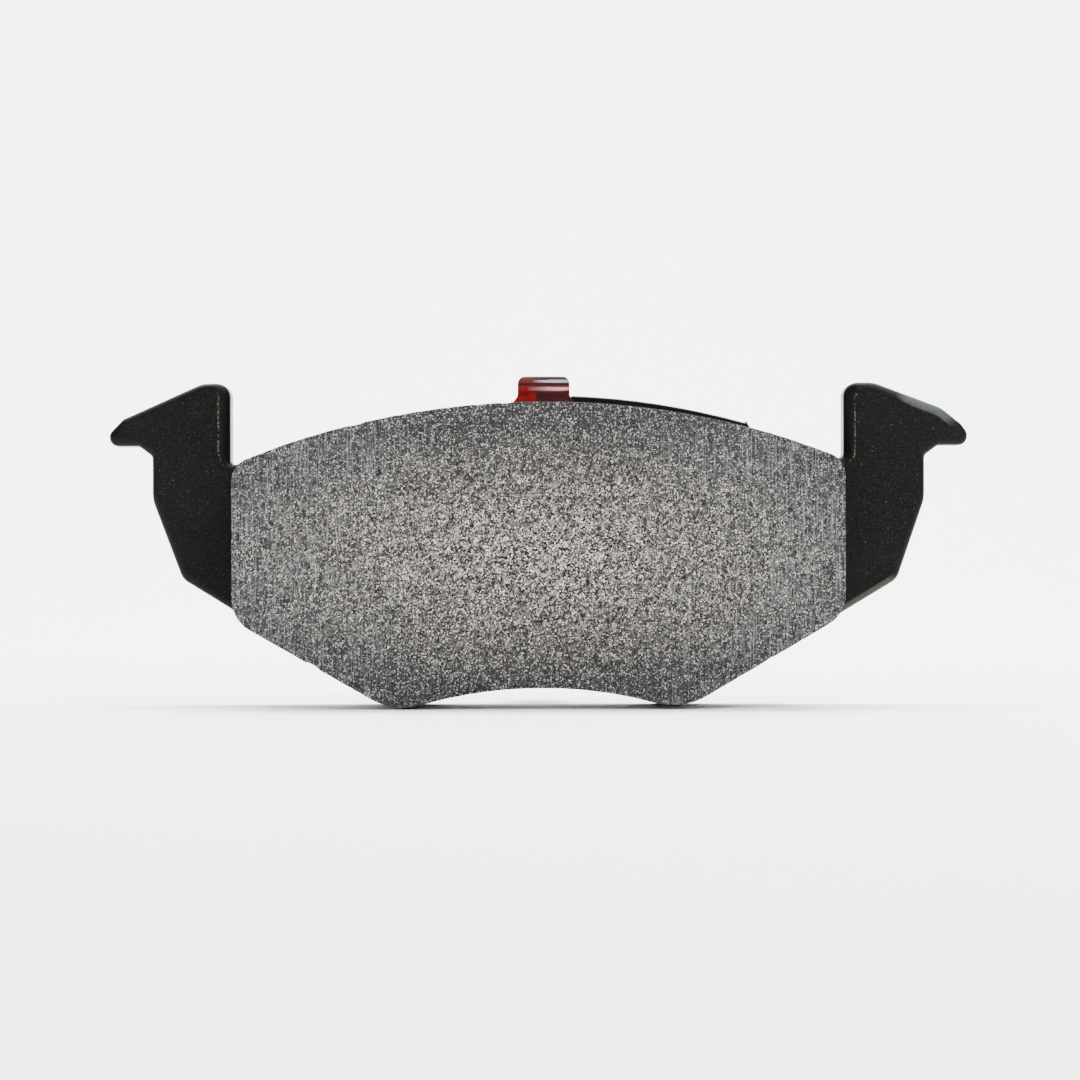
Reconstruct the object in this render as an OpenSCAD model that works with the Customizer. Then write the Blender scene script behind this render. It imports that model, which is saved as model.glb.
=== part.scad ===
// Disc brake pad with hooked ears, bonded friction block, damping shim and riveted retaining spring.
// X runs along the pad, Z points radially outward, Y points from the disc to the caliper.
// The origin is on the friction face, on the line of the caliper's piston.

/* [Friction block] */
// Half the length of the friction block
block_half = 50.95; // [49.5:0.05:51]
// Height of the block's outer edge at the middle
block_top = 24.35; // [23:0.05:25]
// Radius of the block's outer edge
block_top_r = 135; // [125:1:150]
// How far the block sits out of square on the plate, in degrees
edge_tilt = 0.45; // [0:0.05:0.8]
// Radius of the two outer corners
block_shoulder_r = 4; // [1:0.5:6]
// Radius of the two corners where the sides meet the lower slopes
block_side_r = 6; // [2:0.5:9]
// Distance of each lower lobe's centre from the middle
lobe_x = 22.4; // [20:0.1:25]
// Height of each lower lobe's centre
lobe_z = -15.25; // [-16:0.1:-14]
// Radius of each lower lobe
lobe_r = 11; // [9:0.5:12]
// Radius of the arch between the lobes
arch_r = 74; // [60:1:90]
// Angle of the lower slopes
slope_angle = 30; // [28:0.5:32]

/* [Layers] */
// Thickness of the friction material
friction_t = 11.1; // [4:0.1:14]
// Thickness of the insulating underlayer
underlayer_t = 2; // [1:0.1:3]
// Thickness of the adhesive film on the plate
film_t = 0.1; // [0.05:0.05:0.2]
// Thickness of the backing plate
plate_t = 5.5; // [5:0.1:6.5]
// Thickness of the shim's adhesive layer
shim_glue_t = 0.1; // [0.1:0.05:0.2]
// Thickness of the shim's steel core
shim_steel_t = 0.6; // [0.4:0.1:0.8]
// Thickness of the shim's rubber face
shim_rubber_t = 0.2; // [0.1:0.05:0.3]

/* [Backing plate] */
// How far the plate stands out past the block's edge
plate_margin = 0.5; // [0.3:0.1:0.8]
// Distance between the ears' inner walls, halved
ear_inner = 52.15; // [51.9:0.05:54]
// How far both inner walls stand off centre, towards the left
notch_skew = 0.25; // [0:0.05:0.3]
// Height of the top of the ears
ear_top = 28.1; // [27.5:0.1:29]
// How much fuller the right ear's sloping edge is than the left one's
slope_fill = 0.8; // [0:0.1:1]
// Half the length over the beaks
ear_half = 73; // [72.5:0.1:74]
// Height of the seat under each beak
beak_seat = 17.4; // [16.5:0.1:17.8]
// Distance of each abutment face from the middle
abutment_x = 65.7; // [65:0.1:66.5]
// Width of the rolled edge around the ears
ear_roll = 1.2; // [0.6:0.1:1.4]
// Width of the rolled edge on the ears' inner walls
wall_roll = 1.7; // [0.6:0.1:2]
// Depth of the rolled edge
roll_depth = 1.1; // [0.5:0.1:1.5]
// Height of the raised land on one side of the outer edge
land_top = 26; // [25:0.05:26.2]
// Radius of the raised land
land_r = 126; // [120:1:134]
// Radius of the holes that the underlayer keys into
key_r = 4.5; // [3:0.5:5]
// Radius of the pegs that locate the shim
peg_r = 2.5; // [2:0.1:3]

/* [Retaining spring] */
// Thickness of the spring strip
strip_t = 0.8; // [0.6:0.1:0.8]
// Height of the top of the tongue's hoop
tongue_top = 29.3; // [28.5:0.1:30]
// Distance of the tongue from the middle
tongue_x = 0.9; // [0:0.1:1.5]
// Width of the tongue's claw
claw_w = 8.8; // [7:0.1:9]
// Width of the strap behind the tongue
strap_w = 5.6; // [5:0.1:6.5]
// Width of each piston finger
finger_w = 7; // [5:0.5:8]
// Greatest radius of the piston fingers
finger_reach = 18.6; // [18:0.1:19]
// How far the fingers stand out behind the hub
finger_len = 13; // [11:0.5:15]
// Distance of each rivet from the middle
rivet_x = 5.6; // [5:0.1:6]
// Radius of the rivet shanks
rivet_r = 2; // [1.5:0.1:2.2]

/* [Hidden] */
$fn = 64;

// Angle covered by one straight piece of a rounded corner
corner_step = 9;

// Planes of the layers, counted from the friction face
film_y = friction_t + underlayer_t;
plate_y = film_y + film_t;
back_y = plate_y + plate_t;
steel_y = back_y + shim_glue_t;
rubber_y = steel_y + shim_steel_t;
rear_y = rubber_y + shim_rubber_t;
hub_y = back_y + strip_t;

// Keys through the plate and pegs that stand out behind it, as [x, z]
key_places = [[-36, 4], [-25, -9], [25, -9], [36, 4]];
peg_places = [[-42, -3], [42, -3]];
peg_rise = 0.8;
peg_hole_r = peg_r + 0.1;

// Window that the shim leaves around the spring, and its slot for the strap
window_r = 18.8;
slot_half = strap_w / 2 + 1.2;
shim_inset = 1.2;

// Raised land on the outer edge
land_x0 = 5.6;
land_x1 = 35.2;
land_nub = 0.35;

// Rivets: countersunk at the front, domed at the back
rivet_gap = 0.05;
rivet_sink_r = 3.4;
rivet_sink_t = 1.3;
rivet_head_r = 3.3;
rivet_head_t = 1.3;

// ---------- geometry helpers ----------

function unit(v) = v / norm(v);
function mirrored(points) = [for (i = [len(points) - 1:-1:0]) [-points[i].x, points[i].y]];
function arc(c, r, a0, a1, n) = [for (i = [0:n]) let (a = a0 + (a1 - a0) * i / n) c + r * [cos(a), sin(a)]];

// Points of one corner [x, z, r] between its neighbours
function corner(a, b, c) =
    let (p = [b[0], b[1]])
    b[2] == undef || b[2] == 0 ? [p] :
    let (
        u = unit([a[0], a[1]] - p),
        v = unit([c[0], c[1]] - p),
        half = acos(u * v) / 2,
        o = p + unit(u + v) * b[2] / sin(half),
        s = p + u * b[2] / tan(half) - o,
        e = p + v * b[2] / tan(half) - o,
        a0 = atan2(s.y, s.x),
        turn = (atan2(e.y, e.x) - a0 + 540) % 360 - 180
    )
    arc(o, b[2], a0, a0 + turn, max(2, ceil(abs(turn) / corner_step)));

// An open run of corners; its two ends stay as they are
function run(c) = [
    for (i = [0:len(c) - 1])
        each (i == 0 || i == len(c) - 1 ? [[c[i][0], c[i][1]]] : corner(c[i - 1], c[i], c[i + 1]))
];

// Outward normal at each point of a clockwise loop
function loop_normal(p, i) =
    let (
        n = len(p),
        a = unit(p[i] - p[(i + n - 1) % n]),
        b = unit(p[(i + 1) % n] - p[i]),
        m = unit([-a.y - b.y, a.x + b.x])
    )
    m / max(0.5, m * [-a.y, a.x]);

// A strip of thickness t along an open path
function strip(path, t) =
    let (
        n = len(path),
        side = [
            for (i = [0:n - 1])
                let (d = unit(path[min(i + 1, n - 1)] - path[max(i - 1, 0)]))
                [-d.y, d.x] * t / 2
        ]
    )
    concat([for (i = [0:n - 1]) path[i] + side[i]], [for (i = [n - 1:-1:0]) path[i] - side[i]]);

// A flat shape drawn in X and Z, standing between two planes
module slab(y0, y1) {
    translate([0, y1, 0]) rotate([90, 0, 0]) linear_extrude(y1 - y0) children();
}

// A round post along Y
module post(place, r1, y0, y1, r2 = undef) {
    translate([place.x, y1, place.y])
        rotate([90, 0, 0])
            cylinder(h = y1 - y0, r1 = r1, r2 = r2 == undef ? r1 : r2);
}

// ---------- outlines, clockwise from the middle of the outer edge ----------

// Both halves are drawn to the right; side is 1 for the right half and -1 for the left one
function top_z(x, grow, side) =
    block_top - block_top_r + sqrt(pow(block_top_r + grow, 2) - x * x) + side * x * tan(edge_tilt);
function top_points(x0, x1, grow, n, side) = [
    for (i = [0:n]) let (x = x0 + (x1 - x0) * i / n) [x, top_z(x, grow, side)]
];

// Where the lobe of a grown outline is touched by a line leaning at the given angle
function lobe_touch(grow, angle) = [lobe_x, lobe_z] + (lobe_r + grow) * [sin(angle), -cos(angle)];

// Lobe and half of the arch, from the slope to the middle
function lower_points(grow, angle) =
    let (
        reach = arch_r + lobe_r,
        arch_z = lobe_z - sqrt(reach * reach - lobe_x * lobe_x),
        lean = atan2(lobe_z - arch_z, lobe_x)
    )
    concat(
        arc([lobe_x, lobe_z], lobe_r + grow, angle - 90, lean - 180, 12),
        [for (i = [1:10]) let (a = lean + (90 - lean) * i / 10) [0, arch_z] + (arch_r - grow) * [cos(a), sin(a)]]
    );

// A point moved up or down as the block leans
function askew(p, side) = [p.x, p.y + side * p.x * tan(edge_tilt)];

// Half of the friction block's outline, grown outward by a margin
function block_half_points(grow, side) =
    let (
        x = block_half + grow,
        touch = lobe_touch(grow, slope_angle),
        side_z = touch.y + (x - touch.x) * tan(slope_angle)
    )
    concat(
        run(concat(
            top_points(0, 42, grow, 12, side),
            [
                [x, top_z(x, grow, side), block_shoulder_r + grow],
                [x, askew([x, side_z], side).y, block_side_r + grow],
                askew(touch, side)
            ]
        )),
        [for (p = lower_points(grow, slope_angle)) askew(p, side)]
    );
function block_points(grow) =
    let (right = block_half_points(grow, 1), left = mirrored(block_half_points(grow, -1)))
    concat(right, [for (i = [1:len(left) - 2]) left[i]]);

function wall_x(side) = ear_inner - side * notch_skew;
function ear_toe(side) = side > 0 ? [61, -5.4] : [60.6, -5.2];

// Hooked ear, from the notch beside the block to the corner above the lower slope
function ear_corners(side) = [
    [wall_x(side), top_z(wall_x(side), plate_margin, side), 0.8],
    [wall_x(side), ear_top, 2.4],
    [57.1, ear_top, 5],
    if (side > 0) [68.6, 22.95 + slope_fill, 5],
    side > 0 ? [70.7 + 1.6 * slope_fill, 22 - 1.25 * slope_fill, 1.5] : [70.7, 22, 1.6],
    [ear_half, 19.6, 1.4],
    [ear_half, beak_seat, 1.5],
    [68, beak_seat, 1],
    [abutment_x, 15.7, 1],
    [abutment_x, 8.3, 6],
    concat(ear_toe(side), [3.2])
];

// Angle of the line from the ear's lower corner that just touches the lobe
function touch_angle(side) =
    let (d = ear_toe(side) - [lobe_x, lobe_z], reach = norm(d))
    atan2(d.y, d.x) + asin((lobe_r + plate_margin) / reach);

function land_z(x) = land_top - land_r + sqrt(land_r * land_r - x * x) + x * tan(edge_tilt);
land_points = concat(
    [[land_x0 - 0.6, top_z(land_x0 - 0.6, plate_margin, 1)]],
    [for (i = [0:8]) let (x = land_x0 + (land_x1 - land_x0) * i / 8) [x, land_z(x)]],
    [
        [land_x1 + 0.2, land_z(land_x1) + land_nub],
        [land_x1 + 1, top_z(land_x1 + 1, plate_margin, 1)]
    ]
);

// Half of the plate's outline, with the outer edge given as points
function plate_half_points(edge, side) =
    let (angle = touch_angle(side))
    concat(
        run(concat(edge, ear_corners(side), [lobe_touch(plate_margin, angle)])),
        lower_points(plate_margin, angle)
    );
function plate_points() =
    let (
        right = plate_half_points(concat(
            [[0, top_z(0, plate_margin, 1)]],
            land_points,
            [for (x = [38.5:3:44.5]) [x, top_z(x, plate_margin, 1)]]
        ), 1),
        left = mirrored(plate_half_points(top_points(0, 44, plate_margin, 14, -1), -1))
    )
    concat(right, [for (i = [1:len(left) - 2]) left[i]]);

// Width of the rolled edge: small along the block, full round the ears,
// widest on their inner walls and on the right ear's fuller slope
function roll_at(p) =
    let (
        share = max(0, min(1, (abs(p.x) - block_half + 0.5) / 1.5)),
        wall = max(0, min(1, wall_x(sign(p.x)) + 2 - abs(p.x))) * max(0, min(1, (p.y - 14) / 2)),
        full = max(0, min(1, (p.x - 60) / 4)) * max(0, min(1, (p.y - 19.5) / 1.5))
    )
    0.3 + (ear_roll - 0.3) * share + (wall_roll - ear_roll) * share * wall + slope_fill * 0.7 * full;

// ---------- sub-parts ----------

module friction_block() {
    color([0.42, 0.42, 0.41])
        slab(0, friction_t) polygon(block_points(0));
}

// Insulating layer under the friction material, with keys that fill the plate's holes
module underlayer() {
    color([0.25, 0.22, 0.19])
        union() {
            slab(friction_t, film_y) polygon(block_points(0));
            for (p = key_places) post(p, key_r, film_y - 0.5, back_y);
            for (p = peg_places) post(p, peg_r - 0.2, film_y - 0.5, plate_y + peg_rise);
        }
}

module adhesive_film() {
    color([0.55, 0.4, 0.2])
        difference() {
            slab(film_y, plate_y) polygon(block_points(0));
            for (p = key_places) post(p, key_r, film_y - 1, plate_y + 1);
            for (p = peg_places) post(p, peg_r - 0.2, film_y - 1, plate_y + 1);
        }
}

// The plate's blank: its edge rolls over towards the friction side
module rolled_plate() {
    edge = plate_points();
    n = len(edge);
    normals = [for (i = [0:n - 1]) loop_normal(edge, i)];
    steps = 2;
    rings = concat(
        [
            for (k = [0:steps])
                let (a = 90 * k / steps, inset = 1 - sin(a), y = plate_y + roll_depth * (1 - cos(a)))
                [for (i = [0:n - 1]) let (p = edge[i] - normals[i] * roll_at(edge[i]) * inset) [p.x, y, p.y]]
        ],
        [[for (p = edge) [p.x, back_y, p.y]]]
    );
    last = steps + 1;
    resize([2 * ear_half, 0, 0])
        polyhedron(
            points = [for (ring = rings) each ring],
            faces = concat(
                [[for (i = [n - 1:-1:0]) i]],
                [for (k = [0:last - 1], i = [0:n - 1])
                    [k * n + i, k * n + (i + 1) % n, (k + 1) * n + (i + 1) % n, (k + 1) * n + i]],
                [[for (i = [0:n - 1]) last * n + i]]
            )
        );
}

module backing_plate() {
    color([0.12, 0.12, 0.12])
        difference() {
            union() {
                rolled_plate();
                for (p = peg_places) post(p, peg_r, back_y - 0.5, back_y + peg_rise);
            }
            for (p = key_places) post(p, key_r, plate_y - 1, back_y + 1);
            for (p = peg_places) post(p, peg_r - 0.2, plate_y - 1, plate_y + peg_rise);
            for (s = [-1, 1]) {
                post([s * rivet_x, 0], rivet_r + rivet_gap, plate_y - 1, back_y + 1);
                post(
                    [s * rivet_x, 0], rivet_r + rivet_gap,
                    plate_y - 0.01, plate_y + rivet_sink_t + rivet_gap, rivet_sink_r + rivet_gap
                );
            }
        }
}

// Outline shared by the three layers of the shim
module shim_shape() {
    difference() {
        polygon(block_points(-shim_inset));
        circle(r = window_r);
        translate([tongue_x - slot_half, 0]) square([2 * slot_half, 2 * block_top]);
        for (p = peg_places) translate(p) circle(r = peg_hole_r);
    }
}

module shim_adhesive() { color([0.75, 0.7, 0.55]) slab(back_y, steel_y) shim_shape(); }
module shim_steel() { color([0.6, 0.61, 0.62]) slab(steel_y, rubber_y) shim_shape(); }
module shim_rubber() { color([0.1, 0.1, 0.11]) slab(rubber_y, rear_y) shim_shape(); }

// One piston finger in its own plane: out from the hub, back into the piston, with a barb
function finger_path() =
    let (y = back_y + strip_t / 2)
    run([
        [4, y],
        [14.2, y, 1.8],
        [16.2, y + 0.55 * finger_len, 4],
        [finger_reach - strip_t / 2, y + 0.72 * finger_len, 2],
        [finger_reach - 3, y + finger_len]
    ]);

// The strap and its hoop over the plate's outer edge, as [y, z]
hoop_r = (back_y - plate_y) / 2 + strip_t;
hoop_y = (back_y + plate_y) / 2;
hoop_z = tongue_top - hoop_r - strip_t / 2;
claw_z = block_top + 0.45;
function hoop_arc(a0, a1) = arc([hoop_y, hoop_z], hoop_r, a0, a1, 14);

module across(x, w) {
    translate([x - w / 2, 0, 0]) rotate([90, 0, 90]) linear_extrude(w) children();
}

module tongue() {
    strap_y = back_y + strip_t / 2;
    across(tongue_x, strap_w)
        polygon(strip(concat(
            run([[strap_y, 6], [strap_y, hoop_z - 3, 6], [hoop_y + hoop_r, hoop_z]]),
            hoop_arc(8, 112)
        ), strip_t));
    across(tongue_x, claw_w - 1.4) polygon(strip(hoop_arc(100, 130), strip_t));
    across(tongue_x, claw_w) polygon(strip(concat(hoop_arc(118, 180), [[hoop_y - hoop_r, claw_z]]), strip_t));
    // Flared foot of the claw
    translate([0, hoop_y - hoop_r + strip_t / 2, 0])
        rotate([90, 0, 0])
            linear_extrude(strip_t)
                polygon([
                    [tongue_x - claw_w / 2 - 0.9, claw_z],
                    [tongue_x + claw_w / 2 + 0.9, claw_z],
                    [tongue_x + claw_w / 2, claw_z + 1],
                    [tongue_x - claw_w / 2, claw_z + 1]
                ]);
}

module retaining_spring() {
    color([0.75, 0.16, 0.14])
        difference() {
            union() {
                slab(back_y, hub_y)
                    union() {
                        circle(r = 7.5);
                        for (s = [-1, 1]) translate([s * rivet_x, 0]) circle(r = 4.6);
                        translate([tongue_x - strap_w / 2, 0]) square([strap_w, 9]);
                    }
                for (a = [30, 150, 270])
                    rotate([0, -a, 0])
                        translate([0, 0, -finger_w / 2])
                            linear_extrude(finger_w)
                                polygon(strip(finger_path(), strip_t));
                tongue();
            }
            for (s = [-1, 1]) post([s * rivet_x, 0], rivet_r + rivet_gap, back_y - 1, hub_y + 1);
        }
}

module spring_rivets() {
    color([0.7, 0.7, 0.72])
        for (s = [-1, 1])
            union() {
                post([s * rivet_x, 0], rivet_r, plate_y + 0.5, hub_y + 0.5);
                post([s * rivet_x, 0], rivet_r, plate_y, plate_y + rivet_sink_t, rivet_sink_r);
                intersection() {
                    post([s * rivet_x, 0], rivet_head_r, hub_y, hub_y + rivet_head_t);
                    translate([s * rivet_x, hub_y + rivet_head_t - 4.4, 0]) sphere(r = 4.4);
                }
            }
}

friction_block();
underlayer();
adhesive_film();
backing_plate();
shim_adhesive();
shim_steel();
shim_rubber();
retaining_spring();
spring_rivets();
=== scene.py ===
"""Disc brake pad, seen square to its friction face.

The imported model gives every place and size. Here the block, the stamped plate and the spring get
their finished shapes, every surface gets its finish, and the pad stands on a pale seamless floor.
All lengths are in metres; MM turns millimetres into them.
"""

import math

import bmesh
import bpy
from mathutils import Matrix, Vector, noise
from mathutils.geometry import delaunay_2d_cdt


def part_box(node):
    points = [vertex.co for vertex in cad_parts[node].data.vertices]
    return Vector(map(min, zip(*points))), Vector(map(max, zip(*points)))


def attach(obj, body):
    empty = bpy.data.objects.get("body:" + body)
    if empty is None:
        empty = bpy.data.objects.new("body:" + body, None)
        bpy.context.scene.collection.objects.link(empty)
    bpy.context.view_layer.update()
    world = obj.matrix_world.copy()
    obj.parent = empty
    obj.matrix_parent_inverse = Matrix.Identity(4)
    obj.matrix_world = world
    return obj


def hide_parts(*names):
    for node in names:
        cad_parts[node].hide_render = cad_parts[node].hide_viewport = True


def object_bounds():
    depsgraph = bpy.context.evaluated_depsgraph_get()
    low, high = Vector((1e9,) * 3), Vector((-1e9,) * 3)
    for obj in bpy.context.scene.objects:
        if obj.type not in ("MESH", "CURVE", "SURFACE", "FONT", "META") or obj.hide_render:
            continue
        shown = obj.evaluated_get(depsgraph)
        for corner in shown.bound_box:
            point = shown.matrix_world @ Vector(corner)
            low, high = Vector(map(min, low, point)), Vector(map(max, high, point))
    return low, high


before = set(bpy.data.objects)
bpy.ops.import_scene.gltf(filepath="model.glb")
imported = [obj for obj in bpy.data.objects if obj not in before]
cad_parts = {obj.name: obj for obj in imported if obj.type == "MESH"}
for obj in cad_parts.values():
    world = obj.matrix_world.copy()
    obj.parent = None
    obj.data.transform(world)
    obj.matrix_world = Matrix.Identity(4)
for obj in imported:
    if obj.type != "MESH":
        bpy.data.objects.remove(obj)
cad_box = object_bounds()

MM = 0.001
BODY = "root"

# ---------------------------------------------------------------- places taken from the model

BLOCK_LOW, BLOCK_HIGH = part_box("friction_block")
BLOCK_HALF = BLOCK_HIGH[0]
PLATE_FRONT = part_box("adhesive_film")[1][1]
PLATE_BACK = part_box("shim_adhesive")[0][1]
PLATE_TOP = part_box("backing_plate")[1][2]
SPRING_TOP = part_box("retaining_spring")[1][2]

# ---------------------------------------------------------------- sizes of the finished surfaces

# Friction block
BLOCK_STEP = 0.45 * MM  # spacing of points along its edge
BLOCK_ARRIS = 0.10 * MM  # broken edge round the ground face
BLOCK_ROUGH = 0.10 * MM  # how unevenly the edge is broken
CHIP_CHANCE = 0.10  # share of the edge with small chips
CHIP_DEPTH = 0.35 * MM
CRUMB = 0.9 * MM  # size of the crumbled places
CHIP_SPACING = 2.2 * MM
LUMP = 3.0 * MM  # size of the shallow lumps on its sides
LUMP_DEPTH = 0.10 * MM
SIDE_STATIONS = (0.08, 0.2, 0.4, 0.6, 0.8, 1.0)  # where the sides have points, as shares of the depth
NICK_PLACE = (-37.6 * MM, -19.7 * MM)  # one larger nick on the lower left slope
NICK_REACH = 1.1 * MM
NICK_DEPTH = 0.45 * MM

# Backing plate
PLATE_STEP = 0.7 * MM  # spacing of points along its edge
ROLL_DEPTH = 1.1 * MM  # how far back the rolled edge reaches
ROLL_EARS = 1.25 * MM  # its width round the ears
ROLL_BLOCK = 0.3 * MM  # its width along the block
ROLL_WALL = 2.2 * MM  # its width on the ears' inner walls
ROLL_SLOPE = 0.56 * MM  # how much wider it is on the right ear's slope
WALL_FOOT = 14 * MM  # the inner walls stand above this height
WALL_DROP = 5 * MM  # the walls are looked for this far under the ears' tops
SLOPE_FROM = (60 * MM, 19.5 * MM)  # inner end and lowest height of the right ear's slope
PALE_SLOPE = (61 * MM, 71.3 * MM, 20 * MM)  # lighter grey strip there: from, to and above which height
PALE_FOOT = (50 * MM, 61.2 * MM, -4.2 * MM)  # lighter grey strip along its lower edge: from, to and below
ROLL_STEPS = 7  # facets across the roll
PLATE_BURR = 0.12 * MM  # broken edge at the back
PEG_RADIUS = 2.5 * MM
PEG_RISE = 0.8 * MM
PEG_ROOT = 0.2 * MM  # how far the pegs start inside the plate
PEG_POINTS = 48
PEG_PLACES = [(-42 * MM, -3 * MM), (42 * MM, -3 * MM)]

# Retaining spring
STRIP = 0.8 * MM  # thickness of its sheet
STRIP_SOFT = 0.14 * MM  # its rounded edges
HUB_SOFT = 0.12 * MM
TONGUE_X = 0.9 * MM
CLAW_WIDTH = 8.8 * MM
CLAW_FLARE = 1.6 * MM  # how much wider the claw is at its foot
FLARE_HEIGHT = 1.3 * MM
CLAW_CLEAR = 0.45 * MM  # from the block's top to the claw's foot
STRAP_WIDTH = 5.6 * MM
STRAP_HEIGHTS = (6 * MM, 12 * MM, 18 * MM)  # its points up the plate's back
HOOP_STEPS = 28  # points round the hoop over the plate's edge
WIDEN_FROM = 8  # the strap widens into the claw after this many of them
WIDEN_STEPS = 14  # and has its full width after this many more
CLAW_STEPS = 6  # points from the hoop down to the claw's foot
FINGER_ANGLES = (30, 150, 270)
FINGER_WIDTH = 7 * MM
FINGER_REACH = 18.6 * MM
FINGER_LENGTH = 13 * MM
FINGER_PATH = [  # its corners: reach from the hub's middle, share of its length, radius of the bend
    (4 * MM, 0.0, 0.0),
    (14.2 * MM, 0.0, 1.8 * MM),
    (16.2 * MM, 0.55, 4 * MM),
    (FINGER_REACH - STRIP / 2, 0.72, 2 * MM),
    (FINGER_REACH - 3 * MM, 1.0, 0.0),
]
BEND_STEP = math.radians(8)
RIVET_X = 5.6 * MM
RIVET_EAR = 4.6 * MM  # radius of the hub's ear round each rivet
HUB_RADIUS = 7.5 * MM
HUB_POINTS = 120

# Bands of painted reflection and shade on the front of its tongue, as lowest and highest heights in
# millimetres
FOOT_BAND = (20.0, 26.5)
LOW_STEEL_BAND = (26.75, 27.3)
DARK_BAND = (27.55, 28.12)
HIGH_STEEL_BAND = (28.14, 28.62)
BROW_BAND = (28.62, 31.0)

# Floor, in metres
FLOOR_NEAR = -2.4
FLOOR_FAR = 0.80
FLOOR_TURN = 0.45  # radius of its curves
FLOOR_STEPS = 16
FLOOR_HEIGHT = 1.4
FLOOR_HALF = 2.6  # half its width

# Light, in metres: name, place, aim, width and height, watts
SOFT_BOXES = [
    ("key_box", (0.34, -0.42, 0.62), (0.0, 0.0, 0.0), (0.35, 0.35), 11.0),
    ("front_box", (0.02, -0.62, 0.05), (0.0, 0.0, 0.0), (0.10, 0.08), 1.3),
    ("left_fill", (-0.7, -0.35, 0.25), (0.0, 0.0, 0.0), (0.5, 0.5), 1.5),
    ("top_box", (0.0, 0.25, 0.8), (0.0, 0.0, 0.0), (0.9, 0.5), 16.0),
    ("back_wash", (0.0, 0.18, 0.95), (0.0, 0.76, 0.2), (1.4, 0.4), 46.0),
]
ROOM_LIGHT = 0.12

# Camera
VIEW_DISTANCE = 520 * MM  # from the plate's front
VIEW_WIDTH = 183.55 * MM  # what the frame spans there
VIEW_X = 0.25 * MM
VIEW_Z = 1.36 * MM
VIEW_ROLL = math.radians(0.1)
SENSOR = 36.0


# ---------------------------------------------------------------- node helpers


def put(tree, kind, values=None, **settings):
    """A node with its settings made and its inputs set, or linked when given another's output."""
    made = tree.nodes.new(kind)
    for name, value in settings.items():
        setattr(made, name, value)
    for name, value in (values or {}).items():
        if isinstance(value, bpy.types.NodeSocket):
            tree.links.new(value, made.inputs[name])
        else:
            made.inputs[name].default_value = value
    return made


def ramp(tree, value, low, high, to_low=0.0, to_high=1.0):
    """value stretched from low..high to to_low..to_high, and held at the ends."""
    made = put(tree, "ShaderNodeMapRange", {
        "Value": value, "From Min": low, "From Max": high, "To Min": to_low, "To Max": to_high,
    })
    return made.outputs["Result"]


def maths(tree, operation, a, b=None):
    """A sum on one or two numbers or outputs."""
    values = {0: a} if b is None else {0: a, 1: b}
    return put(tree, "ShaderNodeMath", values, operation=operation).outputs[0]


def blend(tree, share, a, b):
    """Colour a turned into colour b by share; a node that mixes colours keeps them in sockets 6 and 7."""
    made = tree.nodes.new("ShaderNodeMix")
    made.data_type = "RGBA"
    for socket, value in ((made.inputs[0], share), (made.inputs[6], a), (made.inputs[7], b)):
        if isinstance(value, bpy.types.NodeSocket):
            tree.links.new(value, socket)
        elif isinstance(value, tuple):
            socket.default_value = (*value, 1.0)
        else:
            socket.default_value = value
    return made.outputs[2]


def effect(name, takes, gives):
    """A shader node group with named inputs and outputs; returns the group, its inputs and its end."""
    group = bpy.data.node_groups.new(name, "ShaderNodeTree")
    for label, value in takes.items():
        socket = group.interface.new_socket(name=label, in_out="INPUT", socket_type="NodeSocketFloat")
        socket.default_value = value
    for label, kind in gives.items():
        group.interface.new_socket(name=label, in_out="OUTPUT", socket_type=kind)
    start = group.nodes.new("NodeGroupInput")
    end = group.nodes.new("NodeGroupOutput")
    return group, start.outputs, end.inputs


def use(tree, group, **values):
    """The group's outputs, placed in a material with its own values."""
    made = tree.nodes.new("ShaderNodeGroup")
    made.node_tree = group
    for label, value in values.items():
        made.inputs[label].default_value = value
    return made.outputs


def millimetres(tree, stretch=(1.0, 1.0, 1.0)):
    """Object coordinates in millimetres, stretched along the axes if asked."""
    place = tree.nodes.new("ShaderNodeTexCoord").outputs["Object"]
    return put(tree, "ShaderNodeMapping", {
        "Vector": place, "Scale": tuple(1000.0 * s for s in stretch),
    }).outputs["Vector"]


def divided(group, place, size):
    """A place in units of size, so that a pattern grows with it."""
    made = put(group, "ShaderNodeVectorMath", {0: place}, operation="SCALE")
    group.links.new(maths(group, "DIVIDE", 1.0, size), made.inputs["Scale"])
    return made.outputs[0]


def noise_of(tree, place, scale=1.0, detail=2.0, roughness=0.5):
    """Soft cloudy noise, from 0 to 1."""
    return put(tree, "ShaderNodeTexNoise", {
        "Vector": place, "Scale": scale, "Detail": detail, "Roughness": roughness,
    }).outputs["Fac"]


def attribute(tree, name):
    """A value stored on the mesh's points."""
    return put(tree, "ShaderNodeAttribute", attribute_name=name).outputs["Fac"]


def place_of(tree):
    """X, Y and Z on the pad, in millimetres."""
    return put(tree, "ShaderNodeSeparateXYZ", {"Vector": millimetres(tree)}).outputs


# ---------------------------------------------------------------- shared effects


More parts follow.
